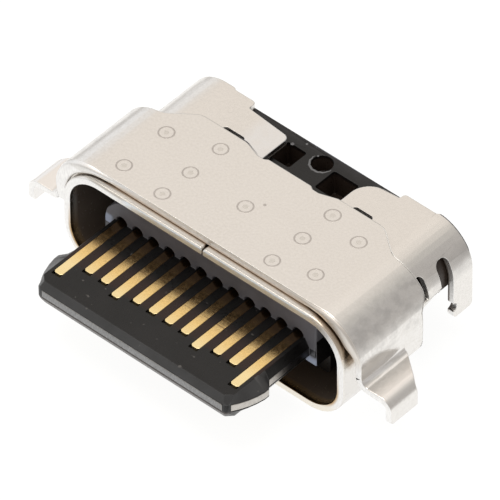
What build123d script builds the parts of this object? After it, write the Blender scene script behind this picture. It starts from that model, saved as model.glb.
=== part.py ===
from build123d import *
import math
import os

# Board socket for a small reversible 24-way plug, in millimetres.
# X runs across the width, Y runs into the socket, Z is up. The origin is the
# centre of the plug mouth, in the plane of the inner shell's front edge.

# Plug mouth, the inside of the inner shell
mouth_width = 8.34
mouth_height = 2.56
mouth_corner = 0.90

# Sheet metal
shell_wall = 0.20
cover_wall = 0.18
cover_top_gap = 0.05
cover_side_gap = 0.20
cover_corner = 1.20

# Top face of the circuit board that the socket is sunk into
board_z = -0.15

# Inner shell, behind the mouth
ring_depth = 2.66
wing_rear = 4.49
leg_rear = 4.55
leg_front = 3.88
leg_depth = 0.67
leg_notch_radius = 0.12
leg_notch_depth = 0.32
leg_roundness = 0.18
strip_front = 3.02
strip_rear = 3.47
strip_bottom = 0.44
strip_corner = 0.08
brace_rear = 3.20
brace_low = 0.27
window_floor = 0.48
window_corner = 0.06
slot_top = 1.10
slot_roundness = 0.42
seam_gap = 0.03
seam_bevel = 0.07
rear_window_front = 2.90
left_flap_end = -0.955
right_flap_end = 1.33
flap_outer_x = 2.31
left_flap_rear = 4.12
right_flap_rear = 4.23
left_flap_root = 4.24
right_flap_root = 4.32
flap_round_left = 0.17
flap_round_right = 0.58
vent_width = 0.20
vent_y = 3.32
vent_spans = ((-2.33, -1.68), (1.72, 2.31))
left_wing_step = 2.97
right_wing_step = 3.30
wing_step_rear = 4.54
wing_step_run = 0.05
wing_corner = 0.10

# Outer cover
cover_front = 0.19
cover_rear = 3.18
cover_mid_step = 0.095
cover_notch_start = 0.66
cover_notch_floor = (0.76, 0.95)
cover_notch_depth = 0.065
cover_notch_round = 0.07
cover_ramp_end = 1.42
cover_ramp_round = 0.30
cover_flat_half = 2.85
shoulder_x = 3.60
shoulder_y = 2.60
cover_side_rear = 2.36
side_step_low = 0.75
side_step_high = 1.15
side_corner = 0.17
side_bottom = -0.30
shoulder_round = 0.45

# Front feet of the outer cover
foot_reach = 0.93
foot_inner_bend = 0.20
foot_outer_bend = 0.16
foot_depth = 0.52
foot_root_rear = 1.70
foot_tip_rear = 1.12
foot_root_reach = 0.11
foot_tip_reach = 0.86
foot_root_round = 0.12
foot_tip_round = 0.25
foot_corner = 0.10

# Tongue
tongue_front = -2.46
tongue_thickness = 0.70
head_half = 3.295
neck_half = 3.10
tip_half = 2.98
tip_corner = 0.13
flat_half = 2.97
flat_corner = 0.26
head_full_y = -1.50
head_swell = 0.03
head_rear = -1.36
neck_start = -1.14
side_lip = 0.03
tip_face_half = 0.15
tip_bevel_run = 0.10

# Root block behind the tongue
root_front = 0.25
root_half = 3.31
root_top = 1.00
root_corner = 0.15
root_bottom = -0.38
root_edge = 0.06
lower_root_front = 0.75
body_front = 1.50

# Rear body
body_clearance = 0.03
body_rear = 4.51
belly_rear = 2.60
skirt_half = 3.85
skirt_top = 0.10
board_clearance = 0.05
body_roof_gap = 0.03
pocket_depth = 0.70
left_pocket = (-1.04, -0.45, 3.53, 4.17)
right_pocket = (0.43, 1.20, 3.45, 4.15)
pin_hole = (0.05, 4.15)
pin_hole_radius = 0.27
pin_hole_depth = 0.50
pocket_corner = 0.06
solder_window = (2.95, 3.75)
solder_window_height = 0.20

# Contacts
contact_count = 12
contact_pitch = 0.50
contact_width = 0.25
contact_thickness = 0.12
contact_tip_bevel = 0.05
tip_relief = 0.07
short_tip = -1.475
power_tip = -1.66
ground_tip = -1.973
arch_radius = 0.17
upper_drop_start = 3.95
upper_drop_end = 4.15
upper_tail_end = 5.05
lower_rise_start = 2.30
lower_rise_end = 2.60
lower_tail_end = 3.55

# Middle plate between the two contact rows
plate_thickness = 0.20
plate_corner_in = 0.18
plate_corner_out = 0.07
plate_corner_run = 0.19
plate_rear = 2.20
plate_joggle_end = 2.45
plate_tail_gap = 0.125
plate_tail_width = 0.28
plate_tail_end = 4.90

# Contact carriers inside the housing
carrier_half = 3.05
carrier_height = 0.50
upper_carrier = (0.60, 3.70)
lower_carrier = (0.95, 2.20)

# Derived places
mouth_half_width = mouth_width / 2
mouth_half_height = mouth_height / 2
shell_half_width = mouth_half_width + shell_wall
shell_half_height = mouth_half_height + shell_wall
shell_corner = mouth_corner + shell_wall
cover_half_width = shell_half_width + cover_side_gap + cover_wall
cover_top = shell_half_height + cover_top_gap + cover_wall
tongue_top = tongue_thickness / 2
plate_top = plate_thickness / 2
side_face_half = plate_top + side_lip
contact_row_half = (contact_count - 1) / 2 * contact_pitch + contact_width / 2
plate_tail_inner = contact_row_half + plate_tail_gap
plate_tail_outer = plate_tail_inner + plate_tail_width
contact_level = tongue_top - contact_thickness / 2
tail_level = board_z + contact_thickness / 2
body_bottom = board_z + board_clearance
body_top = mouth_half_height - body_roof_gap
far = 20.0


def along_y(sketch, start, end):
    """Extrude an X-Z sketch from one depth to another."""
    return extrude(Plane.XZ.offset(-start) * sketch, amount=start - end)


def along_z(sketch, low, high):
    """Extrude an X-Y sketch from one height to another."""
    return extrude(Plane.XY.offset(low) * sketch, amount=high - low)


def along_x(sketch, left, right):
    """Extrude a Y-Z sketch from one side to the other."""
    return extrude(Plane.YZ.offset(left) * sketch, amount=right - left)


def outline(points, rounds=()):
    """A closed face through the points, with chosen corners rounded."""
    face = make_face(Polyline(*points, close=True))
    for (x, y), radius in rounds:
        corner = face.vertices().sort_by_distance(Vector(x, y, 0))[0]
        face = fillet(corner, radius)
    return face


def span_rectangle(low_x, high_x, low_y, high_y):
    """A rectangle between two corners."""
    centre = ((low_x + high_x) / 2, (low_y + high_y) / 2)
    return Pos(*centre) * Rectangle(high_x - low_x, high_y - low_y)


def rounded_oblong(half_width, half_height, radius):
    return RectangleRounded(2 * half_width, 2 * half_height, radius)


def mirror_x(shape):
    return mirror(shape, about=Plane.YZ)


def cover_plan():
    """Top view of the cover: shoulders at the sides, a stepped rear edge."""
    middle = cover_rear - cover_mid_step
    low = middle - cover_notch_depth
    floor_start, floor_end = cover_notch_floor
    half = [
        (0, middle),
        (cover_notch_start, middle),
        (floor_start, low),
        (floor_end, low),
        (cover_ramp_end, cover_rear),
        (cover_flat_half, cover_rear),
        (shoulder_x, shoulder_y),
        (far, shoulder_y),
        (far, cover_front),
        (0, cover_front),
    ]
    rounds = [
        ((floor_start, low), cover_notch_round),
        ((floor_end, low), cover_notch_round),
        ((cover_ramp_end, cover_rear), cover_ramp_round),
        ((cover_flat_half, cover_rear), shoulder_round),
        ((shoulder_x, shoulder_y), shoulder_round),
    ]
    right = outline(half, rounds)
    return right + mirror_x(right)


def cover_side_view():
    """Side view of the cover: the side walls end before the roof does."""
    points = [
        (cover_front, side_bottom),
        (cover_side_rear, side_bottom),
        (cover_side_rear, side_step_low),
        (shoulder_y, side_step_high),
        (far, side_step_high),
        (far, far),
        (cover_front, far),
    ]
    return outline(points, [((cover_side_rear, side_bottom), side_corner)])


def cover_foot():
    """A foot that flares out on the board and dips into its slot."""
    side_x = cover_half_width - cover_wall / 2
    flange_z = board_z + cover_wall / 2
    tip_x = cover_half_width + foot_reach - cover_wall / 2
    bend_in = foot_inner_bend + cover_wall / 2
    bend_out = foot_outer_bend + cover_wall / 2
    path = FilletPolyline(
        (side_x, flange_z + 2 * bend_in),
        (side_x, flange_z),
        (tip_x, flange_z),
        (tip_x, board_z - foot_depth),
        radius=[bend_in, bend_out],
    )
    strip = along_y(trace(path, line_width=cover_wall), cover_front, foot_root_rear)
    root_x = cover_half_width + foot_root_reach
    tip_start_x = cover_half_width + foot_tip_reach
    plan = [
        (side_x - cover_wall, cover_front),
        (far, cover_front),
        (far, foot_tip_rear),
        (tip_start_x, foot_tip_rear),
        (root_x, foot_root_rear),
        (side_x - cover_wall, foot_root_rear),
    ]
    rounds = [
        ((tip_start_x, foot_tip_rear), foot_tip_round),
        ((root_x, foot_root_rear), foot_root_round),
    ]
    foot = strip & along_z(outline(plan, rounds), -far, far)
    tip_edges = foot.edges().filter_by(Axis.X).group_by(Axis.Z)[0]
    return fillet(tip_edges, foot_corner)


def outer_cover():
    """Folded U-shaped cover, welded over the inner shell, with two feet."""
    outer = rounded_oblong(cover_half_width, cover_top, cover_corner)
    inner = rounded_oblong(
        cover_half_width - cover_wall, cover_top - cover_wall, cover_corner - cover_wall
    )
    hood = along_y(outer - inner, cover_front, cover_rear)
    hood &= along_z(cover_plan(), -far, far)
    hood &= along_x(cover_side_view(), -far, far)
    bend_start = board_z + cover_wall + foot_inner_bend
    opening = span_rectangle(-far, foot_root_rear, -far, bend_start)
    hood -= along_x(opening, -far, far)
    foot = cover_foot()
    return hood + foot + mirror_x(foot)


def shell_side_cut():
    """Side view of what is cut from the shell below and behind the mouth tube."""
    points = [
        (ring_depth, -far),
        (ring_depth, brace_low),
        (brace_rear, strip_bottom),
        (strip_rear, strip_bottom),
        (strip_rear, slot_top),
        (leg_front, slot_top),
        (leg_front, board_z),
        (far, board_z),
        (far, -far),
    ]
    slot_round = (leg_front - strip_rear) * slot_roundness
    rounds = [
        ((strip_rear, strip_bottom), strip_corner),
        ((strip_rear, slot_top), slot_round),
        ((leg_front, slot_top), slot_round),
    ]
    return outline(points, rounds)


def shell_window():
    """Side view of the closed window between the mouth tube and the strip."""
    points = [
        (ring_depth, window_floor),
        (ring_depth, slot_top),
        (strip_front, slot_top),
        (strip_front, window_floor),
    ]
    top_round = (strip_front - ring_depth) * slot_roundness
    rounds = [
        ((ring_depth, slot_top), top_round),
        ((strip_front, slot_top), top_round),
        ((ring_depth, window_floor), window_corner),
        ((strip_front, window_floor), window_corner),
    ]
    return outline(points, rounds)


def wing_outline(root_rear, step_x):
    """Right wing from above, from the root of its flap out to the side."""
    return [
        (flap_outer_x, root_rear),
        (flap_outer_x, wing_rear),
        (step_x, wing_rear),
        (step_x + wing_step_run, wing_step_rear),
        (mouth_half_width, leg_rear),
        (far, leg_rear),
        (far, -far),
    ]


def shell_plan():
    """Top view of the shell: two wings, and two unlike flaps between them."""
    left_wing = wing_outline(left_flap_root, left_wing_step)
    points = [
        (left_flap_end, left_flap_rear),
        (left_flap_end, rear_window_front),
        (right_flap_end, rear_window_front),
        (right_flap_end, right_flap_rear),
    ]
    points += wing_outline(right_flap_root, right_wing_step)
    points += [(-x, y) for x, y in reversed(left_wing)]
    rounds = [
        ((-flap_outer_x, wing_rear), wing_corner),
        ((flap_outer_x, wing_rear), wing_corner),
        ((left_flap_end, left_flap_rear), flap_round_left),
        ((right_flap_end, right_flap_rear), flap_round_right),
    ]
    return outline(points, rounds)


def shell_leg():
    """The straight lower end of a rear leg, with a small notch in its front edge."""
    low = board_z - leg_depth
    blade = span_rectangle(leg_front, leg_rear, low, board_z)
    corner = (leg_rear - leg_front) * leg_roundness
    blade = fillet(blade.vertices().group_by(Axis.Y)[0], corner)
    notch_z = board_z - leg_notch_depth
    blade -= Pos(leg_front, notch_z) * Circle(leg_notch_radius)
    return along_x(blade, mouth_half_width, shell_half_width)


def inner_shell():
    """Shell rolled from one sheet around the mouth, with its seam on top."""
    outer = rounded_oblong(shell_half_width, shell_half_height, shell_corner)
    inner = rounded_oblong(mouth_half_width, mouth_half_height, mouth_corner)
    shell = along_y(outer - inner, 0, leg_rear)
    shell -= along_x(shell_side_cut(), -far, far)
    shell -= along_x(shell_window(), -far, far)
    shell &= along_z(shell_plan(), -far, far)
    seam = span_rectangle(-seam_gap / 2, seam_gap / 2, 0, far)
    bevel = make_face(
        Polyline(
            (-seam_bevel, shell_half_height + seam_gap),
            (seam_bevel, shell_half_height + seam_gap),
            (0, shell_half_height - seam_bevel),
            close=True,
        )
    )
    shell -= along_y(seam + bevel, -far, far)
    for left, right in vent_spans:
        vent = SlotOverall(right - left, vent_width)
        shell -= along_z(Pos((left + right) / 2, vent_y) * vent, 0, far)
    leg = shell_leg()
    return shell + leg + mirror_x(leg)


def tongue_plan(rear):
    """Right half of the tongue from above: a tapered head, then a neck."""
    corner_mid = tip_corner * (1 - math.sqrt(0.5))
    corner_start = (tip_half - tip_corner, tongue_front)
    corner_middle = (tip_half - corner_mid, tongue_front + corner_mid)
    corner_end = (tip_half, tongue_front + tip_corner)
    swell_x = (tip_half + head_half) / 2 + head_swell
    swell_y = (tongue_front + head_full_y) / 2
    full = (head_half, head_full_y)
    return [
        Line((0, tongue_front), corner_start),
        ThreePointArc(corner_start, corner_middle, corner_end),
        ThreePointArc(corner_end, (swell_x, swell_y), full),
        Line(full, (head_half, head_rear)),
        Line((head_half, head_rear), (neck_half, neck_start)),
        Line((neck_half, neck_start), (neck_half, rear)),
        Line((neck_half, rear), (0, rear)),
        Line((0, rear), (0, tongue_front)),
    ]


def tongue_flat(rear):
    """Right half of the tongue's flat top, with one edge for each edge of the plan."""
    points = [
        (0, tongue_front),
        (flat_half - flat_corner, tongue_front),
        (flat_half, tongue_front + flat_corner),
        (flat_half, head_full_y),
        (flat_half, head_rear),
        (flat_half, neck_start),
        (flat_half, rear),
        (0, rear),
    ]
    return [Line(a, b) for a, b in zip(points, points[1:] + points[:1])]


def tongue():
    """Flat tongue: bare plate's edge in the middle, bevelled above and below."""
    plan = make_face(tongue_plan(body_front))
    flat = make_face(tongue_flat(body_front))
    core = along_z(plan, -side_face_half, side_face_half)
    bevel = loft([Pos(0, 0, side_face_half) * plan, Pos(0, 0, tongue_top) * flat], ruled=True)
    half = core + bevel + mirror(bevel, about=Plane.XY)
    side_view = outline(
        [
            (tongue_front, -tip_face_half),
            (tongue_front + tip_bevel_run, -tongue_top),
            (body_front, -tongue_top),
            (body_front, tongue_top),
            (tongue_front + tip_bevel_run, tongue_top),
            (tongue_front, tip_face_half),
        ]
    )
    return (half + mirror_x(half)) & along_x(side_view, -far, far)


def tip_depths():
    """Front ends of the contacts: ground first, then power, then signals."""
    depths = [short_tip] * contact_count
    depths[0] = depths[-1] = ground_tip
    depths[3] = depths[-4] = power_tip
    return depths


def contact_place(index):
    return (index - (contact_count - 1) / 2) * contact_pitch


def contact_path(tip, upper):
    """Side view of a contact, from its tip to its solder tail."""
    if upper:
        level = contact_level
        start, end, tail = upper_drop_start, upper_drop_end, upper_tail_end
    else:
        level = -contact_level
        start, end, tail = lower_rise_start, lower_rise_end, lower_tail_end
    points = [(tip, level), (start, level), (end, tail_level), (tail, tail_level)]
    return trace(Polyline(*points), line_width=contact_thickness)


def contact(index, upper):
    """A flat strip contact with a soldering tail."""
    tip = tip_depths()[index]
    half = contact_width / 2
    centre = contact_place(index)
    strip = along_x(contact_path(tip, upper), centre - half, centre + half)
    corners = strip.edges().filter_by(Axis.Z).group_by(Axis.Y)[0]
    return chamfer(corners, contact_tip_bevel)


def contact_grooves(upper):
    """The space that a row of contacts takes in the plastic."""
    half = contact_width / 2
    side = 1 if upper else -1
    grooves = []
    for index, tip in enumerate(tip_depths()):
        centre = contact_place(index)
        grooves.append(along_x(contact_path(tip, upper), centre - half, centre + half))
        relief = Pos(centre, tip - tip_relief / 2, side * tongue_top)
        grooves.append(relief * Box(contact_width, tip_relief, contact_thickness))
    return grooves


def middle_plate():
    """Steel plate between the contact rows, bare at the tongue's edges."""
    corner = make_face(
        Polyline(
            (tip_half - plate_corner_in, tongue_front),
            (tip_half + plate_corner_out, tongue_front + plate_corner_run),
            (far, tongue_front + plate_corner_run),
            (far, tongue_front),
            close=True,
        )
    )
    half = make_face(tongue_plan(root_front)) - corner
    half += span_rectangle(0, plate_tail_outer, root_front, plate_rear)
    plate = along_z(half, -plate_top, plate_top)
    drop = board_z + plate_top
    path = Polyline(
        (plate_rear - plate_top, 0),
        (plate_rear, 0),
        (plate_joggle_end, drop),
        (plate_tail_end, drop),
    )
    plate += along_x(trace(path, line_width=plate_thickness), plate_tail_inner, plate_tail_outer)
    return plate + mirror_x(plate)


def upper_carrier_block():
    block = span_rectangle(-carrier_half, carrier_half, *upper_carrier)
    return along_z(block, plate_top, plate_top + carrier_height)


def lower_carrier_block():
    block = span_rectangle(-carrier_half, carrier_half, *lower_carrier)
    return along_z(block, -plate_top - carrier_height, -plate_top)


def root_block():
    """Raised block that the tongue grows out of, arched over each contact."""
    face = span_rectangle(-root_half, root_half, root_bottom, root_top)
    face = fillet(face.vertices().group_by(Axis.Y)[-1], root_corner)
    block = along_y(face, root_front, body_front)
    block = fillet(block.faces().sort_by(Axis.Y)[0].edges(), root_edge)
    lower = span_rectangle(-root_half, root_half, -root_top, 0)
    lower = fillet(lower.vertices().group_by(Axis.Y)[0], root_corner)
    block += along_y(lower, lower_root_front, body_front)
    for index in range(contact_count):
        arch = Pos(contact_place(index), tongue_top) * Circle(arch_radius)
        block -= along_y(arch, -far, upper_carrier[0])
        arch = Pos(contact_place(index), -tongue_top) * Circle(arch_radius)
        block -= along_y(arch, -far, lower_carrier[0])
    return block


def rear_body():
    """Body that fills the shell and stands on the board behind it."""
    section = rounded_oblong(
        mouth_half_width - body_clearance, body_top, mouth_corner - body_clearance
    )
    body = along_y(section, body_front, body_rear)
    body -= along_x(span_rectangle(belly_rear, far, -far, body_bottom), -far, far)
    side = along_x(span_rectangle(belly_rear, far, -far, skirt_top), skirt_half, far)
    body -= side + mirror_x(side)
    for left, right, front, rear in (left_pocket, right_pocket):
        pocket = span_rectangle(left, right, front, rear)
        pocket = fillet(pocket.vertices(), pocket_corner)
        body -= along_z(pocket, body_top - pocket_depth, far)
    hole = Pos(*pin_hole) * Circle(pin_hole_radius)
    body -= along_z(hole, body_top - pin_hole_depth, far)
    window = span_rectangle(-carrier_half, carrier_half, *solder_window)
    body -= along_z(window, body_bottom, body_bottom + solder_window_height)
    return body


def housing():
    """Moulded housing: tongue, root block and rear body in one piece."""
    body = tongue() + root_block() + rear_body()
    body -= middle_plate()
    body -= upper_carrier_block()
    body -= lower_carrier_block()
    for upper in (True, False):
        body -= contact_grooves(upper)
    return body


def carrier(upper):
    """Block moulded round one row of contacts."""
    block = upper_carrier_block() if upper else lower_carrier_block()
    return block - contact_grooves(upper)


def build_parts():
    parts = {
        "outer_cover": outer_cover(),
        "inner_shell": inner_shell(),
        "tongue_housing": housing(),
        "upper_carrier": carrier(True),
        "lower_carrier": carrier(False),
        "middle_plate": middle_plate(),
    }
    for index in range(contact_count):
        parts[f"upper_contact_{index + 1:02d}"] = contact(index, True)
        parts[f"lower_contact_{index + 1:02d}"] = contact(index, False)
    return parts


os.makedirs("parts", exist_ok=True)
for name, shape in build_parts().items():
    export_step(shape, f"parts/{name}.step")
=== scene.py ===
"""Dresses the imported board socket: bevelled sheet metal, moulding, contacts and studio."""
import math
import random

import bmesh
import bpy
from mathutils import Matrix, Vector
from mathutils.bvhtree import BVHTree


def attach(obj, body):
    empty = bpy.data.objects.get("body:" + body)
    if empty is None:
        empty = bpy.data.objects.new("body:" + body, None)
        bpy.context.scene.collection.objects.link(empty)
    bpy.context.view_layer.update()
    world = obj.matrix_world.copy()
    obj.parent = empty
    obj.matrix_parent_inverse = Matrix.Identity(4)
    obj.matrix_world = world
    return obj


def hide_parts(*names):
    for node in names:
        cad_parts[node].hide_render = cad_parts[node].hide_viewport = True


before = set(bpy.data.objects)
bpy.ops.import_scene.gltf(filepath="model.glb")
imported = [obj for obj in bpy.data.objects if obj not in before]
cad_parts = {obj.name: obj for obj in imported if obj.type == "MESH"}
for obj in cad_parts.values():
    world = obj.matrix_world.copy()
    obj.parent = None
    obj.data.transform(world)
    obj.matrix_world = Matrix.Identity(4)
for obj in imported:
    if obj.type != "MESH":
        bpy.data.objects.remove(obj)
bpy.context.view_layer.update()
scene = bpy.context.scene
MM = 0.001

# The photograph's camera, in degrees, millimetres and pixels of a 500 px frame
AZIMUTH, ELEVATION, ROLL = 42.163, 44.68, -0.487
DISTANCE = 250.0
FOCAL = 10729.7
AIM = Vector((0.0, 1.5, 0.0))
AIM_PIXEL = (245.378, 260.303)
FRAME = 500.0
SENSOR = 36.0

# Heights and edges that the details below sit on, in millimetres
FLOOR_Z = -1.48
COVER_TOP = 1.71
HOUSING_TOP = 1.25
COVER_FRONT = 0.19

# Centres of the rounded corners, across and up from the middle, and their radii
TUBE_BEND = (3.27, 0.38)
TUBE_INSIDE, TUBE_OUTSIDE = 0.90, 1.10
COVER_BEND = (3.55, 0.51)
COVER_INSIDE = 1.02
BLOCK_BEND = (-2.52, 0.24)
BLOCK_ROUND = 0.75

# Marks on the cover and the housing, across and along, and their radii
WELDS = [
    (-0.02, 1.54), (-1.73, 2.58), (1.69, 2.66), (-1.73, 1.53), (1.67, 1.63), (-1.75, 0.58),
    (1.63, 0.62), (-3.05, 2.16), (-3.05, 0.69), (2.73, 2.39), (2.69, 0.94),
]
WELD_RING, WELD_WIDTH, WELD_HEART = 0.192, 0.050, 0.078
PIT, PIT_RADIUS = (0.28, 1.88), 0.055
PIN_HOLE = (0.05, 4.15)
PIN_RIM = 0.305
FLECKS = [
    ((-0.65, 4.40), 0.035), ((-0.19, 4.27), 0.028), ((-0.91, 4.18), 0.05),
]

# Edges sharper than this are rounded over, and flatter ones than that are merged
SHARP = math.radians(38.0)
FLAT = math.radians(0.6)


def make_camera():
    """A very long lens at the photograph's angle."""
    azimuth, elevation, roll = (math.radians(a) for a in (AZIMUTH, ELEVATION, ROLL))
    flat = math.cos(elevation)
    back = Vector(
        (math.sin(azimuth) * flat, -math.cos(azimuth) * flat, math.sin(elevation))
    )
    right = Vector((math.cos(azimuth), math.sin(azimuth), 0.0))
    up = back.cross(right)
    right, up = (
        math.cos(roll) * right + math.sin(roll) * up,
        math.cos(roll) * up - math.sin(roll) * right,
    )
    per_pixel = DISTANCE / FOCAL
    aim = AIM + right * (FRAME / 2 - AIM_PIXEL[0]) * per_pixel
    aim += up * (AIM_PIXEL[1] - FRAME / 2) * per_pixel
    place = (aim + back * DISTANCE) * MM
    turn = Matrix((right, up, back)).transposed().to_4x4()
    camera = bpy.data.objects.new("camera", bpy.data.cameras.new("camera"))
    camera.matrix_world = Matrix.Translation(place) @ turn
    camera.data.sensor_width = SENSOR
    camera.data.lens = FOCAL / FRAME * SENSOR
    camera.data.clip_start = 0.01
    camera.data.clip_end = 10.0
    scene.collection.objects.link(camera)
    scene.camera = camera


def link(tree, source, target):
    tree.links.new(source, target)


def coordinates(tree, stretch=(1.0, 1.0, 1.0)):
    """Object coordinates in millimetres, stretched along the axes."""
    place = tree.nodes.new("ShaderNodeTexCoord")
    mapping = tree.nodes.new("ShaderNodeMapping")
    mapping.inputs["Scale"].default_value = [1000.0 * s for s in stretch]
    link(tree, place.outputs["Object"], mapping.inputs["Vector"])
    return mapping.outputs["Vector"]


def noise(tree, scale, detail=3.0, stretch=(1.0, 1.0, 1.0)):
    """Noise with so many waves to a millimetre."""
    node = tree.nodes.new("ShaderNodeTexNoise")
    node.inputs["Scale"].default_value = scale
    node.inputs["Detail"].default_value = detail
    link(tree, coordinates(tree, stretch), node.inputs["Vector"])
    return node.outputs["Fac"]


def remap(tree, value, low, high, start=0.3, end=0.7):
    """Spreads a value between start and end over low to high."""
    node = tree.nodes.new("ShaderNodeMapRange")
    for socket, number in (
        ("From Min", start),
        ("From Max", end),
        ("To Min", low),
        ("To Max", high),
    ):
        node.inputs[socket].default_value = number
    link(tree, value, node.inputs["Value"])
    return node.outputs["Result"]


def mix(tree, factor, first, second):
    """Mixes two colours, or the colour of a socket and a colour, by a mask."""
    node = tree.nodes.new("ShaderNodeMix")
    node.data_type = "RGBA"
    link(tree, factor, node.inputs["Factor"])
    for socket, colour in ((node.inputs[6], first), (node.inputs[7], second)):
        if isinstance(colour, tuple):
            socket.default_value = (*colour, 1.0)
        else:
            link(tree, colour, socket)
    return node.outputs[2]


def bump(tree, shader, height, depth):
    """Relief of so many millimetres from a height between 0 and 1."""
    node = tree.nodes.new("ShaderNodeBump")
    node.inputs["Strength"].default_value = 1.0
    node.inputs["Distance"].default_value = depth * MM
    link(tree, height, node.inputs["Height"])
    link(tree, node.outputs["Normal"], shader.inputs["Normal"])


def math_node(tree, operation, *values):
    """One step of arithmetic on values or sockets."""
    node = tree.nodes.new("ShaderNodeMath")
    node.operation = operation
    for socket, value in zip(node.inputs, values):
        if isinstance(value, (int, float)):
            socket.default_value = value
        else:
            link(tree, value, socket)
    return node.outputs[0]


def along(tree, axis, start, end, both_sides=False):
    """0 before start and 1 after end along an axis of the object, in millimetres."""
    split = tree.nodes.new("ShaderNodeSeparateXYZ")
    link(tree, coordinates(tree), split.inputs[0])
    value = split.outputs[axis]
    if both_sides:
        value = math_node(tree, "ABSOLUTE", value)
    return remap(tree, value, 0.0, 1.0, start, end)


def times(tree, *values):
    """The product of several masks."""
    product = values[0]
    for value in values[1:]:
        product = math_node(tree, "MULTIPLY", product, value)
    return product


def mouth_distance(tree):
    """Distance from the core of the mouth, which is one radius all over each side of the tube."""
    split = tree.nodes.new("ShaderNodeSeparateXYZ")
    link(tree, coordinates(tree), split.inputs[0])
    square = []
    for axis, core in zip((0, 2), TUBE_BEND):
        size = math_node(tree, "ABSOLUTE", split.outputs[axis])
        beyond = math_node(tree, "MAXIMUM", math_node(tree, "SUBTRACT", size, core), 0.0)
        square.append(math_node(tree, "MULTIPLY", beyond, beyond))
    return math_node(tree, "SQRT", math_node(tree, "ADD", *square))


def blank(name, metallic, roughness):
    """A new material with its node tree and its shader."""
    material = bpy.data.materials.new(name)
    material.use_nodes = True
    shader = material.node_tree.nodes["Principled BSDF"]
    shader.inputs["Metallic"].default_value = metallic
    shader.inputs["Roughness"].default_value = roughness
    return material, material.node_tree, shader


def metal(name, dark, light, rough, grain=(14.0, 0.0006), stretch=(1.0, 1.0, 1.0), dents=0.0):
    """Satin metal: two close tones, cloudy gloss, fine grain and soft unevenness."""
    material, tree, shader = blank(name, 1.0, sum(rough) / 2)
    waves, depth = grain
    fine = noise(tree, waves, 4.0, stretch)
    cloud = noise(tree, 0.9, 3.0)
    tone = mix(tree, remap(tree, fine, 0.0, 1.0), dark, light)
    clouded = mix(tree, remap(tree, cloud, 0.0, 0.35), tone, light)
    link(tree, clouded, shader.inputs["Base Color"])
    link(tree, remap(tree, fine, rough[1], rough[0]), shader.inputs["Roughness"])
    height = fine
    if dents:
        uneven = math_node(tree, "MULTIPLY", noise(tree, 3.5, 2.0), dents / depth)
        height = math_node(tree, "ADD", fine, uneven)
    bump(tree, shader, height, depth)
    return material


def tint(material, mask, colour):
    """Mixes a colour over a material's own where the mask is 1."""
    tree = material.node_tree
    socket = tree.nodes["Principled BSDF"].inputs["Base Color"]
    link(tree, mix(tree, mask(tree), socket.links[0].from_socket, colour), socket)


def moulding(name, dark, light, rough, gloss, depth=0.0008):
    """Black moulded plastic with a fine spark texture and pale dust specks."""
    material, tree, shader = blank(name, 0.0, sum(rough) / 2)
    shader.inputs["Specular IOR Level"].default_value = gloss
    fine = noise(tree, 16.0, 4.0)
    cloud = noise(tree, 1.6, 3.0)
    tone = mix(tree, remap(tree, cloud, 0.0, 1.0), dark, light)
    dust = remap(tree, noise(tree, 7.0, 1.0), 0.0, 0.5, 0.74, 0.80)
    specked = mix(tree, dust, tone, (0.16, 0.15, 0.14))
    link(tree, specked, shader.inputs["Base Color"])
    link(tree, remap(tree, fine, rough[0], rough[1]), shader.inputs["Roughness"])
    bump(tree, shader, fine, depth)
    return material


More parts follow.
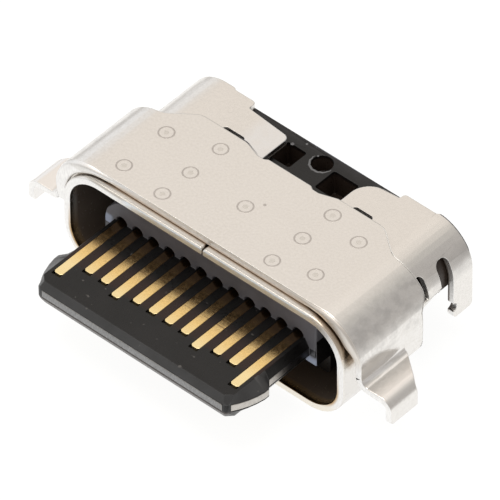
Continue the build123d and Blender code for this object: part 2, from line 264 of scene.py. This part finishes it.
def studio():
    """A glowing floor, painted light that is white round the object and greyer far off, and a
    soft box overhead to the left with a grey wall to the right.
    """
    world = bpy.data.worlds.new("studio")
    scene.world = world
    world.use_nodes = True
    tree = world.node_tree
    background = tree.nodes["Background"]
    place = tree.nodes.new("ShaderNodeTexCoord")
    lean = tree.nodes.new("ShaderNodeVectorMath")
    lean.operation = "DOT_PRODUCT"
    lean.inputs[1].default_value = (-0.5145, 0.0, 0.857)
    link(tree, place.outputs["Generated"], lean.inputs[0])
    ramp = tree.nodes.new("ShaderNodeValToRGB")
    stops = [
        (0.20, (0.52, 0.50, 0.485)),
        (0.46, (0.62, 0.60, 0.57)),
        (0.68, (0.825, 0.78, 0.73)),
        (0.83, (0.905, 0.845, 0.785)),
    ]
    ramp.color_ramp.elements.remove(ramp.color_ramp.elements[1])
    ramp.color_ramp.elements[0].position = stops[0][0]
    ramp.color_ramp.elements[0].color = (*stops[0][1], 1.0)
    for position, colour in stops[1:]:
        ramp.color_ramp.elements.new(position).color = (*colour, 1.0)
    link(tree, lean.outputs["Value"], ramp.inputs["Fac"])
    split = tree.nodes.new("ShaderNodeSeparateXYZ")
    link(tree, place.outputs["Generated"], split.inputs[0])
    low_left = remap(tree, split.outputs[0], 0.0, 1.0, -0.62, -0.84)
    sky = mix(tree, low_left, ramp.outputs["Color"], (0.98, 0.98, 0.99))
    link(tree, sky, background.inputs["Color"])

    lamp = bpy.data.lights.new("soft_box", "AREA")
    lamp.shape = "DISK"
    lamp.size = 0.14
    lamp.energy = 0.14
    lamp.color = (1.0, 0.985, 0.96)
    box = bpy.data.objects.new("soft_box", lamp)
    box.location = Vector((-0.03, 0.0, 0.20))
    box.rotation_euler = box.location.to_track_quat("Z", "Y").to_euler()
    scene.collection.objects.link(box)

    mesh = bpy.data.meshes.new("floor")
    half = 0.6
    mesh.from_pydata(
        [(x * half, y * half, FLOOR_Z * MM) for x, y in ((-1, -1), (1, -1), (1, 1), (-1, 1))],
        [],
        [(0, 1, 2, 3)],
    )
    floor = bpy.data.objects.new("floor", mesh)
    # painted light: the floor glows, white within 11 mm of a point by the object and grey beyond
    # 18 mm
    material, tree, shader = blank("floor_glow", 0.0, 0.9)
    shader.inputs["Base Color"].default_value = (0.14, 0.14, 0.14, 1.0)
    shader.inputs["Specular IOR Level"].default_value = 0.0
    shader.inputs["Emission Strength"].default_value = 1.0
    middle = tree.nodes.new("ShaderNodeVectorMath")
    middle.operation = "LENGTH"
    shifted = tree.nodes.new("ShaderNodeVectorMath")
    shifted.inputs[1].default_value = (2.0, -3.0, 0.0)
    link(tree, coordinates(tree), shifted.inputs[0])
    link(tree, shifted.outputs["Vector"], middle.inputs[0])
    fade = remap(tree, middle.outputs["Value"], 0.0, 1.0, 11.0, 18.0)
    glow = mix(tree, fade, (0.93, 0.93, 0.925), (0.50, 0.49, 0.48))
    link(tree, glow, shader.inputs["Emission Color"])
    mesh.materials.append(material)
    scene.collection.objects.link(floor)


def applied(piece, kind, **values):
    """Gives a piece the mesh that a modifier makes of it."""
    modifier = piece.modifiers.new(kind.lower(), kind)
    for key, value in values.items():
        setattr(modifier, key, value)
    graph = bpy.context.evaluated_depsgraph_get()
    mesh = bpy.data.meshes.new_from_object(
        piece.evaluated_get(graph), preserve_all_data_layers=True, depsgraph=graph
    )
    piece.modifiers.clear()
    piece.data = mesh
    mesh.name = piece.name


def settle(piece):
    """Brings a piece that was built in millimetres to metres."""
    piece.data.transform(Matrix.Scale(MM, 4))


def own(piece, materials, slot, *nodes):
    """Gives a piece its materials, hangs it on the root body and hides the CAD nodes that it
    takes the place of.
    """
    slots = piece.data.materials
    for number, material in enumerate(materials):
        if number < len(slots):
            slots[number] = material
        else:
            slots.append(material)
    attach(piece, "root")
    if nodes:
        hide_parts(*nodes)


def dressed(node_name, name, materials, slot, edge, choose=None, reshape=None, soften=None):
    """A CAD node's shape with its sharp edges rounded over and smooth bends."""
    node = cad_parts[node_name]
    shape = bmesh.new()
    shape.from_mesh(node.data)
    shape.transform(Matrix.Scale(1.0 / MM, 4) @ node.matrix_world)
    bmesh.ops.remove_doubles(shape, verts=shape.verts, dist=0.0004)
    bmesh.ops.dissolve_degenerate(shape, edges=shape.edges, dist=0.0002)
    bmesh.ops.dissolve_limit(shape, angle_limit=FLAT, verts=shape.verts, edges=shape.edges)
    if reshape:
        reshape(shape)
    shape.normal_update()
    for face in shape.faces:
        face.smooth = True
        face.material_index = choose(face) if choose else 0
    weight = shape.edges.layers.float.new("bevel_weight_edge")
    for line in shape.edges:
        if len(line.link_faces) == 2 and line.calc_face_angle(0.0) > SHARP:
            middle = (line.verts[0].co + line.verts[1].co) / 2
            line[weight] = soften(middle) if soften else 1.0
    mesh = bpy.data.meshes.new(name)
    shape.to_mesh(mesh)
    surface = BVHTree.FromBMesh(shape)
    shape.free()
    for _ in materials:
        mesh.materials.append(None)
    piece = bpy.data.objects.new(name, mesh)
    scene.collection.objects.link(piece)
    applied(
        piece, "BEVEL", width=edge, segments=2, limit_method="WEIGHT",
        use_clamp_overlap=False, miter_outer="MITER_ARC",
    )
    # Corners that a bevel on very short edges throws off the shape go back to it
    for corner in piece.data.vertices:
        near, _, _, gap = surface.find_nearest(corner.co)
        if gap > 0.6 * edge:
            corner.co = near
    applied(piece, "WEIGHTED_NORMAL", keep_sharp=True)
    settle(piece)
    own(piece, materials, slot, node_name)


def grown(name, shape, materials, slot):
    """A piece from a shape built in millimetres."""
    mesh = bpy.data.meshes.new(name)
    shape.to_mesh(mesh)
    shape.free()
    piece = bpy.data.objects.new(name, mesh)
    scene.collection.objects.link(piece)
    settle(piece)
    own(piece, materials, slot)


def bead(name, path, radius, material, slot):
    """A fine rounded bead along a path, in millimetres."""
    curve = bpy.data.curves.new(name, "CURVE")
    curve.dimensions = "3D"
    curve.bevel_depth = radius
    curve.bevel_resolution = 2
    curve.use_fill_caps = True
    line = curve.splines.new("POLY")
    line.points.add(len(path) - 1)
    for number, (point, place) in enumerate(zip(line.points, path)):
        point.co = (*place, 1.0)
        point.radius = 0.3 if number in (0, len(path) - 1) else 1.0
    drawn = bpy.data.objects.new(name + "_path", curve)
    scene.collection.objects.link(drawn)
    graph = bpy.context.evaluated_depsgraph_get()
    mesh = bpy.data.meshes.new_from_object(drawn.evaluated_get(graph), depsgraph=graph)
    bpy.data.objects.remove(drawn)
    for face in mesh.polygons:
        face.use_smooth = True
    mesh.materials.clear()
    piece = bpy.data.objects.new(name, mesh)
    scene.collection.objects.link(piece)
    settle(piece)
    own(piece, [material], slot)


def joined(shape, rows):
    """Smooth faces between each row of corners and the next."""
    for row, after in zip(rows, rows[1:]):
        for k in range(len(row) - 1):
            shape.faces.new((row[k], after[k], after[k + 1], row[k + 1])).smooth = True


def ring(shape, centre, radius, width, height, base, sides=28):
    """Adds a low rounded ring that lies on a surface at height base."""
    profile = [(-width / 2, 0.0), (-width / 4, height), (width / 4, height), (width / 2, 0.0)]
    rows = []
    for side in range(sides):
        angle = 2 * math.pi * side / sides
        out = Vector((math.cos(angle), math.sin(angle), 0.0))
        rows.append(
            [
                shape.verts.new(Vector((*centre, base + rise)) + out * (radius + step))
                for step, rise in profile
            ]
        )
    joined(shape, rows + rows[:1])


def dot(shape, centre, radius, height, base, sides=12):
    """Adds a low domed dot."""
    top = shape.verts.new((*centre, base + height))
    rim = []
    for side in range(sides):
        angle = 2 * math.pi * side / sides
        x = centre[0] + math.cos(angle) * radius
        y = centre[1] + math.sin(angle) * radius
        rim.append(shape.verts.new((x, y, base)))
    for first, second in zip(rim, rim[1:] + rim[:1]):
        shape.faces.new((first, second, top)).smooth = True


def weld_marks(materials):
    """Spot welds on the cover's top: a dark ring round a soft centre."""
    shape = bmesh.new()
    for place in WELDS:
        radius = WELD_RING + random.uniform(-0.006, 0.006)
        ring(shape, place, radius, WELD_WIDTH, 0.0026, COVER_TOP - 0.0006)
        made = len(shape.faces)
        dot(shape, place, WELD_HEART, 0.0012, COVER_TOP - 0.0002)
        shape.faces.ensure_lookup_table()
        for face in shape.faces[made:]:
            face.material_index = 1
    dot(shape, PIT, PIT_RADIUS, 0.0016, COVER_TOP - 0.0004)
    grown("weld_marks", shape, materials, "cover_steel")


def tube_skin(across, up, flat):
    """How far the tube's outside is from the centre of the cover's bend, in one direction."""
    aside = TUBE_BEND[0] - COVER_BEND[0]
    below = TUBE_BEND[1] - COVER_BEND[1]
    if flat:
        beyond = max(-aside + flat, 0.0)
        return below + math.sqrt(TUBE_OUTSIDE**2 - beyond**2)
    lean = across * aside + up * below
    return lean + math.sqrt(lean**2 + TUBE_OUTSIDE**2 - aside**2 - below**2)


def bend_lips(material):
    """Where the cover's sheet is bent, its inner edge swells towards the tube and forward.

    The lip starts on the flat top, 12 steps before the bend, and goes round it in 24 steps.
    The left one goes on down the side for 8 more and closes the gap to the tube there.
    """
    before, steps, below, turn = 12, 24, 8, 88.0
    flat_step, side_step = 0.10, 0.07
    base = COVER_INSIDE + 0.01
    shape = bmesh.new()
    for side, push_out, gap, after in ((-1, 0.10, 0.035, below), (1, 0.06, 0.055, 0)):
        rows = []
        for step in range(-before, steps + after + 1):
            angle = math.radians(min(max(0.0, turn * step / steps), turn))
            flat = flat_step * min(step, 0)
            drop = side_step * max(step - steps, 0)
            swell = min(1.0, (step + before) / 16)
            if side > 0:
                swell = min(swell, 1.6 * math.sin(math.pi * (steps - step) / (2 * steps)))
            swell = swell * swell * (3 - 2 * swell)
            across, up = math.sin(angle), math.cos(angle)
            rise = push_out * swell * (1.0 - drop / (side_step * below))
            inner = base + (tube_skin(across, up, flat) + gap - base) * swell
            profile = [(1.185, -0.03), (1.168, rise * 0.7), (1.125, rise), (inner + 0.06, rise)]
            profile += [(inner + 0.015, rise * 0.8), (inner, rise * 0.4), (inner + 0.01, -0.06)]
            row = []
            for far, push in profile:
                x = side * (COVER_BEND[0] + flat + across * far)
                z = COVER_BEND[1] + up * far - drop
                row.append(shape.verts.new((x, COVER_FRONT - push, z)))
            rows.append(row)
        joined(shape, rows)
    bmesh.ops.recalc_face_normals(shape, faces=shape.faces)
    grown("cover_bend_lips", shape, [material], "cover_steel")


def hole_rim(material):
    """Painted highlight: a pale rim on the pin hole's near side; pale flecks beside it."""
    shape = bmesh.new()
    base, steps = HOUSING_TOP - 0.001, 18
    profile = ((-0.030, 0.0), (-0.012, 0.012), (0.012, 0.012), (0.030, 0.0))
    rows = []
    for step in range(steps + 1):
        angle = math.radians(165 + 190 * step / steps)
        swell = math.sin(math.pi * (step + 0.5) / (steps + 1)) ** 0.5
        wave = 0.010 * math.sin(step * 2.3)
        row = []
        for out, rise in profile:
            far = PIN_RIM + wave + out * swell
            x = PIN_HOLE[0] + math.cos(angle) * far
            y = PIN_HOLE[1] + math.sin(angle) * far
            row.append(shape.verts.new((x, y, base + rise * swell)))
        rows.append(row)
    joined(shape, rows)
    for place, radius in FLECKS:
        dot(shape, place, radius, 0.012, base, 7)
    bmesh.ops.recalc_face_normals(shape, faces=shape.faces)
    grown("pin_hole_rim", shape, [material], "housing_plastic")


random.seed(7)
make_camera()
studio()

cover_steel = metal(
    "cover_steel_look", (0.77, 0.745, 0.71), (0.84, 0.82, 0.79), (0.19, 0.27), dents=0.0022
)
shell_steel = metal(
    "shell_steel_look", (0.76, 0.735, 0.70), (0.84, 0.815, 0.78), (0.19, 0.28), dents=0.0024
)
cut_steel = metal(
    "cut_steel_look", (0.78, 0.77, 0.76), (0.96, 0.95, 0.93), (0.36, 0.48),
    (18.0, 0.0012), (2.5, 1.0, 0.5),
)
plate_steel = metal("plate_steel_look", (0.44, 0.42, 0.39), (0.58, 0.55, 0.51), (0.26, 0.38))
plate_front = metal(
    "plate_front_look", (0.20, 0.20, 0.20), (0.34, 0.34, 0.34), (0.40, 0.55),
    (22.0, 0.0010), (3.0, 1.0, 0.4),
)
gold = metal("contact_gold_look", (0.86, 0.60, 0.24), (0.97, 0.70, 0.30), (0.17, 0.27))
weld_tint = metal("weld_tint_look", (0.42, 0.39, 0.37), (0.56, 0.53, 0.50), (0.30, 0.42))
weld_heart = metal("weld_heart_look", (0.62, 0.60, 0.56), (0.72, 0.69, 0.65), (0.28, 0.40))
# painted shade: a brown for the shaded gap under the cover's front edge
gap_shade_brown = metal("gap_shade_brown_look", (0.62, 0.53, 0.45), (0.74, 0.65, 0.56), (0.35, 0.50))
edge_shade = metal("edge_shade_look", (0.10, 0.10, 0.11), (0.16, 0.16, 0.17), (0.35, 0.50))
# painted highlight: a pale steel for a bright line along an edge
edge_highlight = metal("edge_highlight_look", (0.80, 0.79, 0.77), (0.88, 0.87, 0.85), (0.34, 0.46))
# painted highlight: a blue-grey for a light line along the housing's rear edge
blue_highlight = metal("blue_highlight_look", (0.20, 0.22, 0.26), (0.30, 0.32, 0.37), (0.40, 0.55))
# painted highlight: a paler grey plastic for the pin hole's rim, also used for the flecks beside
# it
rim_highlight_and_fleck_plastic = moulding(
    "rim_highlight_and_fleck_look", (0.10, 0.10, 0.105), (0.17, 0.17, 0.175), (0.35, 0.50), 0.50
)
black_plastic = moulding(
    "housing_look", (0.003, 0.003, 0.003), (0.007, 0.0065, 0.0065), (0.26, 0.36), 0.36
)
# painted light: a lighter, blue-grey copy of the black moulding for the lit front of the block
# behind the tongue
lit_block_plastic = moulding(
    "lit_block_look", (0.102, 0.100, 0.110), (0.135, 0.132, 0.146), (0.50, 0.62), 0.30
)
# painted sheen: a lighter copy of the black moulding for the tongue's sloped edges
slope_sheen_plastic = moulding(
    "slope_sheen_look", (0.028, 0.028, 0.028), (0.042, 0.042, 0.043), (0.30, 0.42), 0.55
)
carrier_plastic = moulding(
    "carrier_look", (0.006, 0.006, 0.006), (0.012, 0.012, 0.012), (0.40, 0.55), 0.30
)


def shade_under_lip(tree):
    """Painted shade: tan darkening on the shell where it goes in under the cover's front edge."""
    return times(
        tree, along(tree, 1, 0.10, 0.20), along(tree, 1, 0.50, 0.34), along(tree, 2, 0.2, 0.6)
    )


def bend_gap_shade(tree):
    """Painted shade: brown darkening of the tube's right bend, from the rim inwards, in the gap
    under the cover.
    """
    outer = remap(tree, mouth_distance(tree), 0.0, 1.0, 1.050, 1.085)
    tube = remap(tree, mouth_distance(tree), 0.0, 1.0, 1.14, 1.12)
    bend = times(tree, along(tree, 0, 3.25, 3.55), along(tree, 2, 0.40, 0.75))
    return times(tree, outer, tube, bend, along(tree, 1, 0.50, 0.34))


def deepest_gap_shade(tree):
    """Painted shade: the darkest part of it, deep in the gap."""
    return times(tree, bend_gap_shade(tree), along(tree, 1, 0.05, 0.16))


def right_lip(tree):
    """The duller front of the cover's right bend."""
    cover = remap(tree, mouth_distance(tree), 0.0, 1.0, 1.13, 1.15)
    return times(tree, cover, along(tree, 0, 2.2, 3.0), along(tree, 2, 0.40, 0.75))


def mouth_shade(tree):
    """Painted shade: the dark inside of the tube and of the wings, where little light reaches."""
    inner = remap(tree, mouth_distance(tree), 0.0, 1.0, 0.98, 0.94)
    return times(tree, inner, along(tree, 1, 0.07, 0.28))


def brown_lip(tree):
    """Brown sheen on the inner edge of the mouth, below."""
    inner = remap(tree, mouth_distance(tree), 0.0, 1.0, 0.985, 0.915)
    return times(tree, inner, along(tree, 2, 0.3, -0.6))


def cool_rim_reflection(tree):
    """Painted reflection: cooler grey on the rim's face, along the top."""
    middle = times(tree, along(tree, 0, -2.55, -2.35), along(tree, 0, 3.4, 3.2))
    return times(tree, middle, along(tree, 2, 1.1, 1.25), along(tree, 1, 0.12, 0.05))


def shaded_rim_edge(tree):
    """Painted shade: the rim's upper edge, darkened to tone down its highlight."""
    return times(tree, along(tree, 2, 1.40, 1.44), along(tree, 1, 0.12, 0.05))


def bottom_of_rim(tree):
    """The warmer face of the rim, along the bottom."""
    return times(tree, along(tree, 2, -0.9, -1.2), along(tree, 1, 0.12, 0.05))


def lit_tip(tree):
    """Painted highlight: the contacts' ends, brighter gold where they catch the light."""
    return along(tree, 1, -1.05, -1.55)


def root_shade(tree):
    """Painted shade: the contacts darken towards the block."""
    return along(tree, 1, -1.02, -0.42)


def darkest_root_shade(tree):
    """Painted shade: they are darkest where they go into it."""
    return along(tree, 1, -0.26, 0.02)


def reflected_dark_lines(tree):
    """Painted reflection: fine dark lines across the contacts."""
    lines = remap(tree, noise(tree, 1.5, 3.0, (0.6, 9.0, 1.0)), 0.0, 0.8, 0.56, 0.64)
    return times(tree, lines, along(tree, 1, -0.95, -0.75), along(tree, 1, -0.30, -0.45))


def between_contacts(tree):
    """The reddish black of the bars between the contacts."""
    near = times(tree, along(tree, 1, -1.55, -1.40), along(tree, 1, -0.50, -0.90))
    return times(tree, near, along(tree, 2, 0.33, 0.345))


def lit_pockets(tree):
    """Painted light: the housing's pockets and hole, lit brown instead of black."""
    return times(tree, along(tree, 1, 3.25, 3.35), along(tree, 2, 1.22, 1.10))


def rear_rim_highlight(tree):
    """Painted highlight: the paler rear edge of the housing's top."""
    patchy = remap(tree, noise(tree, 5.0, 3.0), 0.2, 1.0)
    return times(tree, along(tree, 1, 4.20, 4.45), along(tree, 2, 1.20, 1.24), patchy)


def root_gloss(tree):
    """The pale blue sheen on the lower corners of the block behind the tongue."""
    right = times(tree, along(tree, 0, 2.95, 3.02), along(tree, 2, -0.10, -0.20))
    left = times(
        tree, along(tree, 0, -3.00, -3.10), along(tree, 2, -0.10, 0.0),
        along(tree, 2, 0.42, 0.34),
    )
    return math_node(tree, "MAXIMUM", right, left)


def foot_streaks(tree):
    """Drawing marks that run along the bend at the foot's root."""
    streak = remap(tree, noise(tree, 12.0, 3.0, (1.0, 0.16, 1.0)), 0.0, 0.9, 0.40, 0.60)
    root = times(
        tree, along(tree, 0, 4.745, 4.78, both_sides=True),
        along(tree, 0, 5.06, 4.94, both_sides=True),
    )
    return times(tree, streak, root)


def pale_foot(tree):
    """The foot's pale flat flange."""
    return times(
        tree, along(tree, 0, 4.90, 5.02, both_sides=True),
        along(tree, 0, 5.60, 5.46, both_sides=True), along(tree, 2, 0.2, 0.1),
    )


def shaded_wing(tree):
    """The darker stretch of the wings round their slots."""
    return times(
        tree, along(tree, 1, 3.1, 3.5), along(tree, 0, 4.05, 4.25, both_sides=True),
        along(tree, 2, 0.35, 0.65), remap(tree, noise(tree, 3.0, 3.0), 0.4, 0.9),
    )


def lower_lip_highlight(tree):
    """Painted highlight: the paler lower edge of the tongue's front."""
    return times(tree, along(tree, 1, -2.30, -2.40), along(tree, 2, -0.08, -0.11))


def patchy_bend_shade(tree):
    """Painted shade, in faint patches, where the sheet is bent."""
    patches = remap(tree, noise(tree, 5.0, 4.0, (1.0, 0.7, 1.0)), 0.0, 0.55, 0.44, 0.66)
    return times(
        tree, patches, along(tree, 0, 3.9, 4.3, both_sides=True), along(tree, 2, 0.35, 0.6)
    )


def flap_highlight(tree):
    """Painted highlight: the left flap of the shell, which leans a little, painted whiter."""
    across = times(tree, along(tree, 0, -1.95, -1.65), along(tree, 0, -0.8, -0.9))
    patchy = remap(tree, noise(tree, 4.0, 3.0), 0.55, 1.0)
    return times(tree, across, along(tree, 1, 3.0, 3.1), along(tree, 2, 1.3, 1.4), patchy)


def shaded_plate(tree):
    """The plate's edge darkens towards the block."""
    return along(tree, 1, -1.15, -0.45)


def dull_inside(material):
    """Takes most of the mirror away inside the mouth, so that the painted shade there shows dark
    brown.
    """
    tree = material.node_tree
    mirror = math_node(tree, "MULTIPLY_ADD", mouth_shade(tree), -0.75, 1.0)
    link(tree, mirror, tree.nodes["Principled BSDF"].inputs["Metallic"])


tint(shell_steel, shade_under_lip, (0.46, 0.35, 0.25))
tint(shell_steel, flap_highlight, (0.83, 0.83, 0.83))
tint(shell_steel, shaded_wing, (0.60, 0.58, 0.56))
tint(shell_steel, patchy_bend_shade, (0.60, 0.585, 0.565))
tint(cover_steel, patchy_bend_shade, (0.60, 0.585, 0.565))
for steel in (shell_steel, cut_steel):
    tint(steel, brown_lip, (0.50, 0.34, 0.17))
    tint(steel, mouth_shade, (0.125, 0.100, 0.082))
    tint(steel, shaded_rim_edge, (0.66, 0.64, 0.60))
    tint(steel, bend_gap_shade, (0.66, 0.57, 0.47))
    tint(steel, deepest_gap_shade, (0.30, 0.21, 0.14))
    dull_inside(steel)
tint(cut_steel, right_lip, (0.76, 0.72, 0.67))
tint(cut_steel, cool_rim_reflection, (0.90, 0.95, 1.0))
tint(cut_steel, bottom_of_rim, (0.88, 0.83, 0.74))
tint(gold, lit_tip, (1.0, 0.83, 0.46))
tint(gold, reflected_dark_lines, (0.30, 0.18, 0.08))
tint(gold, root_shade, (0.55, 0.37, 0.18))
tint(gold, darkest_root_shade, (0.26, 0.17, 0.10))
tint(black_plastic, between_contacts, (0.018, 0.006, 0.003))
tint(black_plastic, lit_pockets, (0.040, 0.028, 0.022))
tint(black_plastic, rear_rim_highlight, (0.022, 0.021, 0.023))
tint(lit_block_plastic, root_gloss, (0.30, 0.34, 0.44))
tint(cover_steel, pale_foot, (0.92, 0.895, 0.87))
tint(cover_steel, foot_streaks, (0.98, 0.97, 0.96))
tint(slope_sheen_plastic, lower_lip_highlight, (0.085, 0.073, 0.069))
tint(black_plastic, lower_lip_highlight, (0.085, 0.073, 0.069))
tint(plate_steel, shaded_plate, (0.07, 0.07, 0.075))


def cut_front(face):
    """1 on sheared front edges of the sheet metal, and inside its slots."""
    slot = face.normal.y < -0.3 and face.calc_center_median().y > 3.0
    return 1 if slot or face.normal.y < -0.9 else 0


def front_of_plate(face):
    """1 on the plate's bare front edge."""
    return 1 if face.normal.y < -0.9 and face.calc_center_median().y < -2.4 else 0


def housing_part(face):
    """0 on the flats, 1 on the block behind the tongue, 2 on the tongue's slopes."""
    place = face.calc_center_median()
    front = face.normal.y < -0.5 and place.y > 0.2 and place.z > -0.45
    if -0.1 < place.y < 1.6 and (place.z > 0.36 or front):
        return 1
    if place.y < -1.0 and 0.15 < abs(face.normal.z) < 0.95:
        return 2
    return 0


def planes(across, upwards, lengthways=()):
    """Planes square to the axes, each as a point and a normal."""
    cuts = [((x, 0.0, 0.0), (1.0, 0.0, 0.0)) for x in across]
    cuts += [((0.0, 0.0, z), (0.0, 0.0, 1.0)) for z in upwards]
    return cuts + [((0.0, y, 0.0), (0.0, 1.0, 0.0)) for y in lengthways]


def divided(shape, cuts):
    """Cuts the shape's faces by planes, so that no face goes round a corner."""
    for place, normal in cuts:
        parts = shape.faces[:] + shape.edges[:] + shape.verts[:]
        bmesh.ops.bisect_plane(shape, geom=parts, dist=0.0005, plane_co=place, plane_no=normal)


def divide_cover(shape):
    """At the bends of the U, and where the feet begin."""
    divided(shape, planes((-4.765, -3.9, -3.2, 0.0, 3.2, 3.9, 4.765), (0.85, 0.31)))


def divide_shell(shape):
    """Round the mouth, and across the long narrow faces of its bends."""
    lengthways = (0.3, 1.0, 2.0, 2.7, 4.25)
    divided(shape, planes((-3.7, -3.1, 3.1, 3.7), (-0.7, -0.2, 0.2, 0.7), lengthways))


def inside_tube(place):
    """Whether a place is nearer to the tube's inside than to its outside."""
    across = max(abs(place.x) - TUBE_BEND[0], 0.0)
    up = max(abs(place.z) - TUBE_BEND[1], 0.0)
    return math.hypot(across, up) < (TUBE_INSIDE + TUBE_OUTSIDE) / 2


def shell_softness(place):
    """How far the shell's edges are rounded: most on the rim's outside, least at the vents."""
    if 3.05 < place.y < 3.45 and 1.55 < abs(place.x) < 2.5:
        return 0.12
    if place.y > 0.02:
        return 0.5
    return 0.3 if inside_tube(place) else 1.0


def cover_softness(place):
    """How far the cover's edges are rounded: least on the flat front, most on the bends."""
    if place.y < 0.2 and place.z > 1.4 and abs(place.x) < 3.5:
        return 0.35
    return 0.6 if place.z < 0.3 else 1.0


def wing_path():
    """Along the rear edge of the shell's right wing, round its bend."""
    path = []
    for degrees in range(5, 66, 5):
        turn = math.radians(degrees)
        x = TUBE_BEND[0] + 1.095 * math.sin(turn)
        path.append((x, 4.535, TUBE_BEND[1] + 1.095 * math.cos(turn)))
    return path


def rear_path():
    """Along the cover's rear edge, from its flat top over the right bend."""
    path = [(2.74, 3.162, 1.704), (2.97, 3.073, 1.704), (3.48, 2.681, 1.704)]
    for angle in range(6, 91, 6):
        turn = math.radians(angle)
        height = COVER_BEND[1] + 1.196 * math.cos(turn)
        inset = min(max((1.15 - height) / 0.40, 0.0), 1.0)
        path.append((COVER_BEND[0] + 1.196 * math.sin(turn), 2.588 - 0.24 * inset, height))
    return path + [(4.746, 2.348, 0.2), (4.746, 2.348, -0.1)]


def round_left_end(shape):
    """Rounds the upper left corner of the block behind the tongue more fully."""
    left, low = BLOCK_BEND
    for place, normal in planes((left, -2.70, -2.86, -3.0, -3.1), (low, 0.42, 0.58, 0.72)):
        near = [
            face for face in shape.faces
            if 0.2 < face.calc_center_median().y < 1.6 and face.calc_center_median().z > -0.5
        ]
        edges = list({edge for face in near for edge in face.edges})
        corners = list({corner for face in near for corner in face.verts})
        bmesh.ops.bisect_plane(
            shape, geom=near + edges + corners, plane_co=place, plane_no=normal
        )
    for corner in shape.verts:
        x, y, z = corner.co
        out, up = x - left, z - low
        if 0.2 < y < 1.55 and out < 0.0 < up and -0.82 < out and z < 1.01:
            far = math.hypot(out, up)
            if far > BLOCK_ROUND:
                corner.co.x = left + out / far * BLOCK_ROUND
                corner.co.z = low + up / far * BLOCK_ROUND


dressed(
    "outer_cover", "cover_dressed", [cover_steel, cut_steel], "cover_steel", 0.040, cut_front,
    divide_cover, cover_softness,
)
dressed(
    "inner_shell", "shell_dressed", [shell_steel, cut_steel], "shell_steel", 0.050, cut_front,
    divide_shell, shell_softness,
)
dressed(
    "tongue_housing", "housing_dressed", [black_plastic, lit_block_plastic, slope_sheen_plastic],
    "housing_plastic", 0.016, housing_part, round_left_end,
)
dressed(
    "middle_plate", "plate_dressed", [plate_steel, plate_front], "plate_steel", 0.015,
    front_of_plate,
)
for row in ("upper", "lower"):
    for number in range(1, 13):
        node_name = f"{row}_contact_{number:02d}"
        dressed(node_name, f"{node_name}_dressed", [gold], "contact_gold", 0.012)
for node_name in ("upper_carrier", "lower_carrier"):
    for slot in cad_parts[node_name].material_slots:
        slot.material = carrier_plastic
weld_marks([weld_tint, weld_heart])
bend_lips(cut_steel)
hole_rim(rim_highlight_and_fleck_plastic)
# painted shade: a brown bead laid in the gap under the cover's front edge
bead(
    "cover_front_gap_shade", [(-3.15 + 0.3 * k, 0.205, 1.508) for k in range(22)], 0.020,
    gap_shade_brown, "cover_steel",
)
bead("wing_rear_shade", wing_path(), 0.011, edge_shade, "shell_steel")
bead(
    "flap_step_shade",
    [(-1.68, 3.188, 1.69), (-1.47, 3.188, 1.69), (-1.373, 3.172, 1.69), (-0.98, 3.040, 1.69)],
    0.010, edge_shade, "cover_steel",
)
# painted highlight: a pale bead along the cover's rear edge
bead("cover_rear_highlight", rear_path(), 0.010, edge_highlight, "cover_steel")
# painted highlight: a blue-grey bead along the housing's rear edge
bead(
    "housing_rear_highlight", [(-0.75 + 0.2 * k, 4.498, 1.240) for k in range(11)], 0.012,
    blue_highlight, "housing_plastic",
)

scene.view_settings.view_transform = "Standard"
